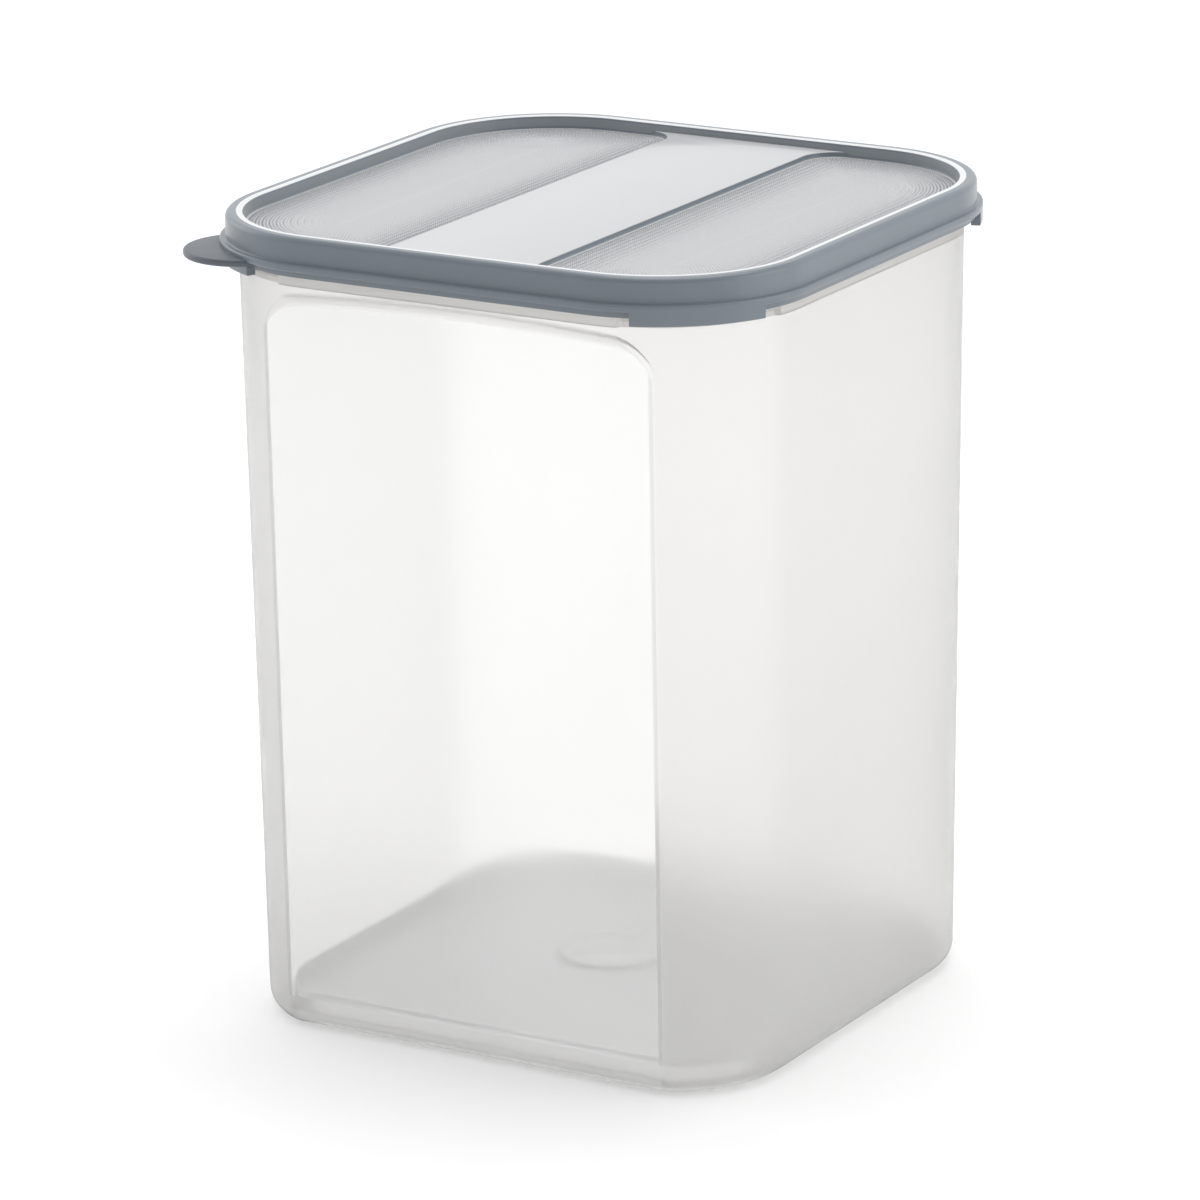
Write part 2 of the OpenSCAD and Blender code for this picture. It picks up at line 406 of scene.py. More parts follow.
    # painted shade: the ledge is painted a little darker than the wall
    onLedge = (isCut * (stored["above"] + margin).over(0.0)
               * (-stored["above"] + given["Ledge Rise"] + margin).over(0.0))
    painted = paint(tree, out(closed), given["Wall Material"])
    for selection, label in ((inPane, "Window"), (sideShadeMask, "Edge"), (onLedge, "Ledge"),
                             (stored["tone"].over(marked), "Shade And Highlight"),
                             (stored["low"].over(marked), "Floor")):
        painted = paint(tree, painted, given[label + " Material"], selection.over(0.5))
    tree.links.new(painted.socket, end.inputs[0])
    return tree


noiseRange = (0.3, 0.7)    # where most of a noise's values lie

# a finish's fixed values and the shader's sockets they go to
surfaceSockets = {
    "seeThrough": "Transmission Weight",
    "index": "IOR",
    "coat": "Coat Weight",
    "coatRoughness": "Coat Roughness",
}


def newMaterial(name):
    material = bpy.data.materials.new(name)
    material.use_nodes = True
    return material, material.node_tree, material.node_tree.nodes["Principled BSDF"]


def objectNoise(tree, scale, detail=3, stretch=(1, 1, 1)):
    where = tree.nodes.new("ShaderNodeTexCoord")
    mapping = addNode(tree, "ShaderNodeMapping",
                      {"Vector": out(where, "Object"), "Scale": stretch})
    return out(addNode(tree, "ShaderNodeTexNoise",
                       {"Vector": out(mapping), "Scale": scale, "Detail": detail}), "Fac")


def tint(tree, factor, low, high):
    mix = addNode(tree, "ShaderNodeMix", data_type="RGBA")
    feed(tree, factor, mix.inputs[0])
    mix.inputs[6].default_value = (*low, 1)
    mix.inputs[7].default_value = (*high, 1)
    return Field(tree, mix.outputs[2])


def dressShader(tree, shader, values, tone, pattern):
    feed(tree, tint(tree, tone, values["lowColour"], values["highColour"]),
         shader.inputs["Base Color"])
    middle, spread = pick(values, "roughness roughnessSpread")
    feed(tree, pattern.ramp(*noiseRange, middle - spread, middle + spread),
         shader.inputs["Roughness"])
    for key, label in surfaceSockets.items():
        if key in values:
            shader.inputs[label].default_value = values[key]


def addBump(tree, shader, height, values):
    bump = addNode(tree, "ShaderNodeBump", {
        "Height": height, "Strength": values["bumpStrength"], "Distance": values["bumpDepth"]})
    tree.links.new(bump.outputs[0], shader.inputs["Normal"])


frostedFinish = {
    "lowColour": (0.880, 0.876, 0.869),
    "highColour": (0.946, 0.942, 0.936),
    "paintedShadeHeights": (0.03, 0.19),    # painted shade: the wall is painted darker towards the bottom, paling from the first height to the second
    "cloudShare": 0.25,             # the rest of the tone comes from the height, as painted shade
    "cloudPerMetre": 22,
    "seeThrough": 0.94,
    "index": 1.25,
    "roughness": 0.4,
    "roughnessSpread": 0.03,
    "coat": 0.0,
    "coatRoughness": 0.12,
    "grainPerMetre": 2600,
    "bumpDepth": 0.00002,
    "bumpStrength": 0.35,
}


def grained(name, values):
    material, tree, shader = newMaterial(name)
    cloud = objectNoise(tree, values["cloudPerMetre"], 4)
    tone = cloud
    # painted shade: the colour is painted darker towards the bottom of the wall
    if "paintedShadeHeights" in values:
        height = split(tree, out(tree.nodes.new("ShaderNodeTexCoord"), "Object"))[2]
        share = values["cloudShare"]
        tone = (cloud.ramp(*noiseRange, 0.0, share)
                + height.ramp(*values["paintedShadeHeights"], 0.0, 1 - share, True))
    dressShader(tree, shader, values, tone, cloud)
    grain = objectNoise(tree, values["grainPerMetre"], 2)
    addBump(tree, shader, grain, values)
    return material


# painted shade: the neck is painted darker where the lid's edge shades it, and the wall is
# thicker there
neckShadeFinish = dict(frostedFinish, lowColour=(0.60, 0.58, 0.555),
                  highColour=(0.66, 0.64, 0.62), seeThrough=0.55)
# painted shade: the ledge along the window's top is painted a little darker than the wall beside
# it
ledgeShadeFinish = dict(frostedFinish, lowColour=(0.885, 0.878, 0.870),
                   highColour=(0.915, 0.909, 0.901), index=1.1)
# painted shade: the strip down the window's sides is painted dark grey
sideShadeFinish = dict(frostedFinish, lowColour=(0.70, 0.705, 0.71),
                  highColour=(0.77, 0.775, 0.78), index=1.2)
# painted light: the tub's raised floor is painted paler than the wall beside it
floorPaintedLightFinish = dict(frostedFinish, lowColour=(0.988, 0.988, 0.984),
                   highColour=(0.999, 0.998, 0.996), seeThrough=0.97, coat=0.7)

windowFinish = {
    "lowColour": (0.980, 0.981, 0.982),
    "highColour": (0.992, 0.992, 0.993),
    "seeThrough": 0.97,
    "index": 1.35,
    "roughness": 0.12,
    "roughnessSpread": 0.048,
    "flowPerMetre": 45,
    "flowStretch": (1, 1, 0.35),
    "bumpDepth": 0.00004,
    "bumpStrength": 0.15,
}


def clearPlastic(name, values):
    material, tree, shader = newMaterial(name)
    flow = objectNoise(tree, values["flowPerMetre"], 3, values["flowStretch"])
    dressShader(tree, shader, values, flow, flow)
    addBump(tree, shader, flow, values)
    return material


sealFinish = {
    "lowColour": (0.175, 0.208, 0.242),
    "highColour": (0.213, 0.248, 0.283),
    "cloudPerMetre": 30,
    "index": 1.5,
    "roughness": 0.34,
    "roughnessSpread": 0.04,
    "coat": 0.25,
    "coatRoughness": 0.07,
    "grainPerMetre": 900,
    "bumpDepth": 0.00002,
    "bumpStrength": 0.2,
}

# painted light: the crest, the plug's inner face, the band, the panels and their relief are paler
# copies of the seal, standing in for reflections of the bright studio and for light coming
# through the thin crest and plate
crestHighlightFinish = dict(sealFinish, lowColour=(0.76, 0.78, 0.79), highColour=(0.84, 0.85, 0.86))
# painted light: the plug's inner face is painted paler than the seal
plugPaintedLightFinish = dict(sealFinish, lowColour=(0.25, 0.28, 0.31),
                  highColour=(0.30, 0.33, 0.36), coat=0.5)
# painted light: the band, the panels and their relief are painted paler than the seal
bandPaintedLightFinish = dict(sealFinish, lowColour=(0.53, 0.54, 0.555),
                  highColour=(0.58, 0.59, 0.60), coat=0.6, coatRoughness=0.12)
panelPaintedLightFinish = dict(sealFinish, lowColour=(0.44, 0.45, 0.47), highColour=(0.50, 0.51, 0.525),
                   coat=0.3, coatRoughness=0.2, grainPerMetre=1500)
reliefPaintedLightFinish = dict(panelPaintedLightFinish, coat=1.0, coatRoughness=0.1)
# painted shade: the tab is painted darker than the seal
tabPaintedShadeFinish = dict(sealFinish, lowColour=(0.11, 0.128, 0.15),
                 highColour=(0.142, 0.16, 0.183), roughness=0.4, coat=0.0)


frosted = grained("frostedPlastic", frostedFinish)
neckShadeFrosted = grained("neckShadePlastic", neckShadeFinish)
ledgeShadeFrosted = grained("ledgeShadePlastic", ledgeShadeFinish)
sideShadeFrosted = grained("sideShadePlastic", sideShadeFinish)
floorPaintedLightFrosted = grained("floorPaintedLightPlastic", floorPaintedLightFinish)
clear = clearPlastic("clearPlastic", windowFinish)
seal = grained("sealPlastic", sealFinish)
crestHighlightPlastic = grained("crestHighlightPlastic", crestHighlightFinish)
bandPaintedLightPlastic = grained("bandPaintedLightPlastic", bandPaintedLightFinish)
panelPaintedLightPlastic = grained("panelPaintedLightPlastic", panelPaintedLightFinish)
reliefPaintedLightPlastic = grained("reliefPaintedLightPlastic", reliefPaintedLightFinish)
plugPaintedLightPlastic = grained("plugPaintedLightPlastic", plugPaintedLightFinish)
tabPaintedShadePlastic = grained("tabPaintedShadePlastic", tabPaintedShadeFinish)
print("stage: materials ready")

tub = {
    "rimHeight": 0.225,
    "rimRounding": 0.00045,
    "rimRow": 0.220,
    "footInnerRadius": 0.0273,   # inner wall of the foot ring, seen from below
    "footInnerRounding": 0.0005,
    "footInnerRow": 0.0016,
    "footEdge": 0.0303,          # centre of the rounding under the wall
    "footRounding": 0.0057,
    "footRadius": 0.036,
    "neckRadius": 0.0387,
    "neckHeight": 0.2133,
    "neckEase": 0.0006,
    "collarRadius": 0.0402,
    "collarEase": 0.0003,
    "ribTop": 0.2161,
    "ribEdge": 0.0007,           # rounding of a rib's lower edge
    "ribSlope": 0.0015,          # a rib falls back from this far below its top
    "ribShare": 0.6,             # how far a rib still stands out where it falls back
    "ribTurn": 12.5,             # how far a rib runs round the corner
    "mouthRadius": 0.0389,
    "mouthShare": 0.8,           # the mouth's rounding, as a share of the rim's
    "mouthStep": 0.2154,
    "mouthEase": 0.0002,
    "mouthRows": (0.0011, -0.0003),   # rows above and below the neck, inside the wall
    "wall": 0.0017,
    "floorUnder": 0.006,
    "floorTop": 0.0078,
    "floorRadius": 0.029,
    "floorReach": 0.0007,        # the floor's material goes this far past its radius
    "floorHeadroom": 0.002,      # and this far above it
    "flatWidth": 0.004,
    "troughTurn": 0.0006,
    "shoulder": 0.0013,
    "bossRadius": 0.0156,
    "bossTop": 0.009,
    "dishRadius": 0.0139,
    "dishDepth": 0.0014,
    "dishRings": 10,
    "fine": 0.0004,              # the smallest roundings and steps
    "hair": 0.0001,              # rows this close together keep an edge crisp
    "neckTuck": 0.00001,         # keeps the row below the neck off its edge
    "windowInset": 0.0035,
    "windowTop": 0.2086,
    "windowHalfWidth": 0.061,
    "windowCornerRadius": 0.0125,
    "archRadius": 0.7,
    "ledgeRise": 0.0034,
    "ledgeLift": 0.00094,
    "edgeSoftness": 0.0007,      # rounds the window's side edges
    "edgeDepth": 0.0004,         # the strip down its sides is where the cut is less deep
    "lowRows": (0.009, 0.013, 0.018, 0.025),
    "evenRows": (0.035, 0.0125, 12),      # the first height, the step and the number
    "highRows": (0.182, 0.191, 0.198, 0.203, 0.2055),
    "ledgeRows": (-0.0016, 0.00032, 18),  # the same, from the window's top
    "followFrom": 0.12,          # rows above this height bend towards the arch
}


def tubSection(size):
    wall, shoulder, fine, hair = pick(size, "wall shoulder fine hair")
    rim, neck, ribTop = pick(size, "rimHeight neckHeight ribTop")
    neckR, collar, mouth = pick(size, "neckRadius collarRadius mouthRadius")
    floorR, floorTop = pick(size, "floorRadius floorTop")
    footEdge, footRounding = pick(size, "footEdge footRounding")
    lean = (neckR - size["footRadius"]) / neck
    leanAngle = math.degrees(math.atan(lean))
    ring, skin = {"round": 1.0}, {"pane": 1.0}
    shadedNeck, rib = {"accent": 1.0}, {"rib": 1.0, "accent": 1.0}

    # under the floor, down the inside of the foot ring and round its outside
    inner, lip = pick(size, "footInnerRadius footInnerRounding")
    rows = [(0.0, size["floorUnder"], ring), (inner - size["flatWidth"], size["floorUnder"])]
    rows += arc(inner - shoulder, size["floorUnder"] - shoulder, shoulder, 90, 0, 6)
    rows += [(inner, size["footInnerRow"])]
    rows += arc(inner + lip, lip, lip, 180, 270, 6)
    rows += arc(footEdge, footRounding, footRounding, 270, 360 - leanAngle, 14)

    def wallRows(radiusAtFoot, lift):
        start, step, count = size["evenRows"]
        topStart, topStep, topCount = size["ledgeRows"]
        levels = [*size["lowRows"], *(start + step * i for i in range(count)), *size["highRows"]]
        levels += [size["windowTop"] + topStart + topStep * i for i in range(topCount)]
        bendFrom, bendTo = size["followFrom"], size["highRows"][-1]
        made = []
        for level in levels:
            follow = min(max((level - bendFrom) / (bendTo - bendFrom), 0.0), 1.0)
            follow = follow * follow * (3 - 2 * follow)
            made.append((radiusAtFoot + lean * level, level,
                         {"follow": follow, "lift": lift, "pane": 1.0}))
        return made

    # up the outside to the rim
    rows += wallRows(size["footRadius"], 0.0)
    # the neck and collar rows carry the painted shade under the lid's edge
    rows += [(neckR - size["neckTuck"], neck - size["neckEase"]), (neckR, neck - hair, shadedNeck),
             (neckR, neck, rib), (neckR, neck + size["ribEdge"], rib),
             (neckR, ribTop - size["ribSlope"], rib)]
    rows += [(collar - size["collarEase"], ribTop - fine, dict(shadedNeck, rib=size["ribShare"])),
             (collar, ribTop + fine, shadedNeck), (collar, size["rimRow"], shadedNeck)]
    edge = size["rimRounding"]
    mouthEdge = edge * size["mouthShare"]
    rows += arc(collar - edge, rim - edge, edge, 0, 90, 6)

    # down the inside to the trough round the floor
    rows += arc(mouth + mouthEdge, rim - mouthEdge, mouthEdge, 90, 180, 6)
    rows += [(mouth, size["rimRow"]), (mouth, ribTop + fine),
             (neckR - wall + size["mouthEase"], size["mouthStep"])]
    rows += [(neckR - wall, neck + shift) for shift in size["mouthRows"]]
    rows += wallRows(size["footRadius"] - wall, size["ledgeLift"])[::-1]
    rows += mark(arc(footEdge, footRounding, footRounding - wall, 360 - leanAngle, 270, 12), skin)
    turn = size["troughTurn"]
    rows += [(floorR + turn, wall + hair), (floorR + hair, wall + turn)]

    # over the raised floor, up the boss and into its dish
    rows += arc(floorR - shoulder, floorTop - shoulder, shoulder, 0, 90, 8)
    rows += [(floorR - size["flatWidth"], floorTop)]
    boss, bossTop, dish, deep = pick(size, "bossRadius bossTop dishRadius dishDepth")
    rows += mark([(boss + fine, floorTop), (boss + hair, floorTop + hair),
                  (boss, floorTop + fine)], ring)
    rows += mark(arc(boss - fine, bossTop - fine, fine, 0, 90, 6), ring)
    ball = (dish ** 2 + deep ** 2) / (2 * deep)
    for i in range(size["dishRings"] + 1):
        radius = dish * (1 - i / size["dishRings"])
        sag = ball - math.sqrt(ball * ball - radius * radius)
        rows.append((radius, bossTop - deep + sag, ring))

    # rows on the raised floor are marked for their painted light
    marked = []
    for radius, height, *extras in rows:
        extras = dict(*extras)
        if radius <= floorR + size["floorReach"] and height < floorTop + size["floorHeadroom"]:
            extras["base"] = 1.0
        marked.append((radius, height, extras))
    return marked, lean


tubRows, tubLean = tubSection(tub)
tubProfile = sectionObject("tubProfile", tubRows)
sweepTree = buildSweepTree(sweep)
sweepValues = {
    **take(square, "Side Steps", "Corner Steps", "Edge Column", "Corner Centre"),
    **take(tub, "Window Inset", "Window Top", "Arch Radius", "Window Half Width",
           "Window Corner Radius", "Ledge Rise", "Edge Softness", "Edge Depth"),
    "Section": tubProfile,
    "Section Points": len(tubRows),
    "Wall Lean": tubLean,
    "Rib Radius": tub["collarRadius"],
    "Rib Turn": math.radians(tub["ribTurn"]),
    "Wall Material": frosted,
    "Window Material": clear,
    "Edge Material": sideShadeFrosted,
    "Ledge Material": ledgeShadeFrosted,
    "Shade And Highlight Material": neckShadeFrosted,
    "Floor Material": floorPaintedLightFrosted,
}
tubPiece = grow("tub", sweepTree, sweepValues)
bpy.data.objects.remove(tubProfile)
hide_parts("container")
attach(tubPiece, "container")

rim = {
    "innerRadius": 0.0405,
    "outerRadius": 0.0423,
    "crestRadius": 0.0422,
    "crestTop": 0.2271,
    "crestRounding": 0.0015,
    "innerRounding": 0.00065,
    "highlightWidth": 0.0013,          # width of the painted highlight along the crest's inner edge
    "highlightStep": 0.0001,
    "plugOuterRadius": 0.0386,
    "plugInnerRadius": 0.0373,
    "plugBottom": 0.2178,
    "channelTop": 0.2253,
    "flangeTop": 0.2202,
    "flangeBottom": 0.2182,
    "flangeRadius": 0.0439,
    "flangeRounding": 0.0005,
    "flangeFillet": 0.0004,
    "skirtBottom": 0.2164,
    "smallRounding": 0.0003,
    "sideSteps": 6,
    "cornerSteps": 32,
    "edgeColumn": 8,
}


def rimSection(size):
    inside, wall, flange = pick(size, "innerRadius outerRadius flangeRadius")
    plug, plugWall, plugLow = pick(size, "plugInnerRadius plugOuterRadius plugBottom")
    skirt, low, high, top = pick(size, "skirtBottom flangeBottom flangeTop crestTop")
    small, edge, fillet = pick(size, "smallRounding flangeRounding flangeFillet")
    crest, inner = pick(size, "crestRounding innerRounding")
    pale, face = {"accent": 1.0}, {"base": 1.0}

    # up the outside, round the flange and over the crest
    rows = [(inside + small, skirt)]
    rows += arc(wall - small, skirt + small, small, 270, 360, 5)
    rows += arc(wall + small, low - small, small, 180, 90, 5)
    rows += arc(flange - edge, low + edge, edge, 270, 360, 6)
    rows += arc(flange - edge, high - edge, edge, 0, 90, 6)
    rows += arc(wall + fillet, high + fillet, fillet, 270, 180, 6)
    rows += arc(size["crestRadius"] - crest, top - crest, crest, 0, 90, 12)[:-1]
    # the pale strip along the crest's inner edge is a painted highlight
    line = plug + inner + size["highlightWidth"]
    rows += [(size["crestRadius"] - crest, top), (line + size["highlightStep"], top),
             (line, top, pale)]
    rows += mark(arc(plug + inner, top - inner, inner, 90, 135, 4), pale)

    # down the plug, back up into the channel and down the wall's inside
    rows += arc(plug + inner, top - inner, inner, 135, 180, 4)[1:-1]
    # the plug's inner face is marked for its painted light
    rows += [(plug, top - inner, face), (plug, plugLow + small, face)]
    rows += arc(plug + small, plugLow + small, small, 180, 270, 4)[1:]
    rows += arc(plugWall - small, plugLow + small, small, 270, 360, 4)
    rows += arc(plugWall + small, size["channelTop"] - small, small, 180, 90, 4)
    rows += arc(inside - small, size["channelTop"] - small, small, 90, 0, 4)
    rows += [(inside, skirt + small)]
    return rows + rows[:1]


rimRows = rimSection(rim)
rimProfile = sectionObject("rimProfile", rimRows)
rimValues = dict(sweepValues)
rimValues.update({
    **take(rim, "Side Steps", "Corner Steps", "Edge Column"),
    "Section": rimProfile, "Section Points": len(rimRows),
    "Window Inset": 0.0, "Wall Lean": 0.0, "Edge Softness": 0.0, "Edge Depth": 0.0,
    "Wall Material": seal, "Window Material": seal, "Edge Material": seal,
    "Ledge Material": seal, "Shade And Highlight Material": crestHighlightPlastic, "Floor Material": plugPaintedLightPlastic})
rimPiece = grow("sealRim", sweepTree, rimValues)
bpy.data.objects.remove(rimProfile)
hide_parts("lid")
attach(rimPiece, "lid")

# the plate: two textured panels with a raised band between them
plate = {
    "bandHalfWidth": 0.0224,
    "bandTop": 0.2249,
    "panelTop": 0.2233,
    "panelCorner": 0.010,
    "reach": 0.0377,            # the plate's edge is buried in the plug's wall
    "underReach": 0.0003,       # and its underside goes this much further
    "thickness": 0.0014,
    "cornerPoints": 16,
    # the step from the band to a panel: how far in, and how far below the band's top
    "bandEdge": ((0.0, 0.0), (0.00015, 0.00004), (0.00028, 0.00015), (0.00034, 0.00035)),
    # and its lower half: how far in, and how far above the panel
    "panelEdge": ((0.0004, 0.00075), (0.00047, 0.00045), (0.00065, 0.0002),
                  (0.0009, 0.00005), (0.0012, 0.0)),
    "stepLevels": (2, 6),       # these strips of the step are of the plain seal material; the others carry the band's painted light, as painted highlights on the step's roundings
    "sharpAngle": 28,
}


def panelOutline(size, side, reach, offset):
    # the panel at +X, moved inwards by offset, from the band's lower corner on
    centre = square["cornerCentre"]
    half = centre + reach
    steps, corner = pick(size, "cornerPoints panelCorner")
    points = arc(side + corner, -half + corner, corner - offset, 180, 270, steps)
    points += arc(centre, -centre, reach - offset, 270, 360, steps * 2)
    points += arc(centre, centre, reach - offset, 0, 90, steps * 2)
    points += arc(side + corner, half - corner, corner - offset, 90, 180, steps)
    return points


def buildPlate(size):
    shape = bmesh.new()
    top, low, thickness = pick(size, "bandTop panelTop thickness")
    rings = [(inwards, top - down) for inwards, down in size["bandEdge"]]
    rings += [(inwards, low + up) for inwards, up in size["panelEdge"]]
    parts = {"band": 0, "step": 1, "panel": 2}
    loops = {}
    for mirror in (1, -1):
        def addRing(side, reach, offset, z):
            outline = panelOutline(size, side, reach, offset)
            return [shape.verts.new((mirror * x, y, z)) for x, y in outline]

        above = [addRing(size["bandHalfWidth"], size["reach"], offset, z) for offset, z in rings]
        under = [addRing(size["bandHalfWidth"] - thickness, size["reach"] + size["underReach"],
                         0.0, z) for z in (top - thickness, low - thickness)]
        count, bandPart = len(above[0]), size["cornerPoints"] + 1
        for chain in (above, under):
            for level, (first, second) in enumerate(zip(chain, chain[1:])):
                part = "step" if level in range(*size["stepLevels"]) else "band"
                for i in range(count):
                    j = (i + 1) % count
                    face = shape.faces.new((first[i], first[j], second[j], second[i]))
                    face.material_index = parts[part]
        shape.faces.new(above[-1]).material_index = parts["panel"]
        shape.faces.new(under[-1]).material_index = parts["panel"]
        for i in range(bandPart - 1, count - bandPart):
            shape.faces.new((above[0][i], above[0][i + 1], under[0][i + 1], under[0][i]))
        loops[mirror] = (above[0], under[0])
    band = list(range(count - bandPart, count)) + list(range(bandPart))
    for level in (0, 1):
        right = [loops[1][level][i] for i in band]
        left = [loops[-1][level][i] for i in band]
        shape.faces.new(right + left[::-1])
    for end in (band[0], band[-1]):
        shape.faces.new((loops[1][0][end], loops[-1][0][end],
                         loops[-1][1][end], loops[1][1][end]))
    bmesh.ops.recalc_face_normals(shape, faces=shape.faces)
    bmesh.ops.triangulate(shape, faces=[face for face in shape.faces if len(face.verts) > 4])
    return finishShape("sealPlate", shape, size["sharpAngle"], bandPaintedLightPlastic, seal, panelPaintedLightPlastic)


platePiece = buildPlate(plate)
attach(platePiece, "lid")

# relief on the panels: rows of short dashes that follow their outline
relief = {
    "rowPitch": 0.00095,
    "dashPitch": 0.00105,
    "firstRow": 0.0017,
    "dashLength": 0.00046,      # half lengths of one dash
    "dashWidth": 0.00028,
    "dashHeight": 0.00042,
    "lean": 38,                 # how far each dash turns from its row, to and fro
    "fadeDepth": 0.012,         # rows this far in are only half as high
    "sink": 0.00002,            # how deep the dashes stand in the panel
    "bandSteps": 10,            # steps of the track's corners beside the band
    "wideSteps": 40,            # and of its wide corners
    "leastLength": 1e-9,
}


def reliefTrack(size, inset):
    # one closed row round the panel at +X, this far in from its edge
    half = square["cornerCentre"] + plate["reach"] - inset
    low = plate["bandHalfWidth"] + inset
    bandR = max(plate["panelCorner"] - inset, 0.0)
    wideR = min(max(plate["reach"] - inset, 0.0), half - low)
    bandSteps, wideSteps = pick(size, "bandSteps wideSteps")
    track = arc(low + bandR, -half + bandR, bandR, 180, 270, bandSteps)
    track += arc(half - wideR, -half + wideR, wideR, 270, 360, wideSteps)
    track += arc(half - wideR, half - wideR, wideR, 0, 90, wideSteps)
    track += arc(low + bandR, half - bandR, bandR, 90, 180, bandSteps)
    return track + track[:1]


def reliefPoints(size):
    places, turns, heights = [], [], []
    half = square["cornerCentre"] + plate["reach"]
    side = plate["bandHalfWidth"]
    row, inset = 0, size["firstRow"]
    while inset < (side + half) / 2 - side - size["rowPitch"] / 2:
        track = reliefTrack(size, inset)
        lengths = [math.dist(a, b) for a, b in zip(track, track[1:])]
        count = max(3, round(sum(lengths) / size["dashPitch"]))
        gap = sum(lengths) / count
        walked, piece = 0.0, 0
        for k in range(count):
            target = (k + (0.5 if row % 2 else 0.0)) * gap
            while piece < len(lengths) - 1 and walked + lengths[piece] < target:
                walked += lengths[piece]
                piece += 1
            a, b = track[piece], track[piece + 1]
            t = (target - walked) / max(lengths[piece], size["leastLength"])
            heading = math.atan2(b[1] - a[1], b[0] - a[0])
            places.append((a[0] + (b[0] - a[0]) * t, a[1] + (b[1] - a[1]) * t))
            turns.append(heading + math.radians(size["lean"]) * (1 if row % 2 else -1))
            heights.append(1.0 / (1.0 + (inset / size["fadeDepth"]) ** 2))
        row += 1
        inset += size["rowPitch"]
    return places, turns, heights


def buildReliefTree():
    tree, given, end = newTree("panelRelief", Object=("Places",), Material=("Relief Material",),
                               Float=("Dash Length", "Dash Width", "Dash Height"))
    places = addNode(tree, "GeometryNodeObjectInfo", {"Object": given["Places"]})
    dash = addNode(tree, "GeometryNodeMeshCone",
                   {"Vertices": 4, "Radius Top": 0.0, "Radius Bottom": 1.0, "Depth": 1.0})
    scale = join(tree, given["Dash Length"], given["Dash Width"],
                 given["Dash Height"] * storedNumber(tree, "tall"))
    return copyOnto(tree, end, given["Relief Material"], out(places, "Geometry"),
                    out(dash, "Mesh"), storedNumber(tree, "turn"), Scale=scale)


dashPlaces, dashTurns, dashHeights = reliefPoints(relief)
sink = plate["panelTop"] - relief["sink"]
placesObject = pointObject(
    "reliefPlaces",
    [(x, y, sink) for x, y in dashPlaces] + [(-x, y, sink) for x, y in dashPlaces],
    {"turn": dashTurns + [math.pi - turn for turn in dashTurns], "tall": dashHeights * 2})
reliefPiece = grow("panelRelief", buildReliefTree(), {
    **take(relief, "Dash Length", "Dash Width", "Dash Height"),
    "Places": placesObject, "Relief Material": reliefPaintedLightPlastic})
bpy.data.objects.remove(placesObject)
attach(reliefPiece, "lid")

# one lug under the flange at each corner
lugs = {
    "trackRadius": 0.04,
    "innerRadius": 0.0411,
    "outerRadius": 0.0438,
    "bottom": 0.2146,
    "top": 0.2192,
    "rounding": 0.0004,
    "innerRounding": 0.0002,
    "topInset": 0.0006,
    "innerRise": 0.002,
    "start": 17.5,
    "span": 49,
    "steps": 28,
}


def buildLugTree():
    tree, given, end = newTree("cornerLugs", Object=("Section",), Int=("Steps",),
                               Float=("Corner Centre", "Track Radius", "Start", "Span"),
                               Material=("Lug Material",))
    profile = addNode(tree, "GeometryNodeObjectInfo", {"Object": given["Section"]})
    track = addNode(tree, "GeometryNodeCurveArc", {
        "Resolution": given["Steps"], "Radius": given["Track Radius"],
        "Start Angle": given["Start"], "Sweep Angle": given["Span"]})
    swept = addNode(tree, "GeometryNodeCurveToMesh", {
        "Curve": out(track, "Curve"), "Profile Curve": out(addNode(
            tree, "GeometryNodeMeshToCurve", {"Mesh": out(profile, "Geometry")})),
        "Fill Caps": True})
    moved = addNode(tree, "GeometryNodeTransform", {
        "Geometry": out(swept),
        "Translation": join(tree, given["Corner Centre"], given["Corner Centre"])})
    corners = addNode(tree, "GeometryNodeMeshLine", {"Count": 4, "Offset": (0, 0, 0)})
    number = out(tree.nodes.new("GeometryNodeInputIndex"))
    return copyOnto(tree, end, given["Lug Material"], out(corners), out(moved),
                    number * quarterTurn)


def lugSection(size):
    # across the track: X is outwards from the track's radius, Y is down
    edge, fillet, bottom = pick(size, "rounding innerRounding bottom")
    inner, outer = (size[key] - size["trackRadius"] for key in ("innerRadius", "outerRadius"))
    points = arc(outer - edge, bottom + edge, edge, 270, 360, 5)
    points += [(outer, size["top"]), (inner + size["topInset"], size["top"]),
               (inner, bottom + size["innerRise"])]
    points += arc(inner + fillet, bottom + fillet, fillet, 180, 270, 3)
    return [(x, -y, 0) for x, y in points]


lugPoints = lugSection(lugs)
lugLoop = pointObject("lugLoop", lugPoints, {},
                      [(i, (i + 1) % len(lugPoints)) for i in range(len(lugPoints))])
lugPiece = grow("sealLugs", buildLugTree(), {
    **take(square, "Corner Centre"), **take(lugs, "Track Radius", "Steps"),
    "Section": lugLoop, "Lug Material": seal,
    "Start": math.radians(lugs["start"]), "Span": math.radians(lugs["span"])})
bpy.data.objects.remove(lugLoop)
turnOutward(lugPiece)
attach(lugPiece, "lid")

tab = {
    "middle": 0.07087,          # the disc's centre, from both axes
    "direction": 225,           # which corner it is at
    "radius": 0.0165,
    "top": 0.2189,
    "thickness": 0.0019,
    "rounding": 0.0007,
    "edgeSteps": 6,
    "wallRadius": 0.0414,       # its root is buried in the seal's outer wall
    "points": 72,
    "rootPoints": 16,
    "sharpAngle": 28,
}


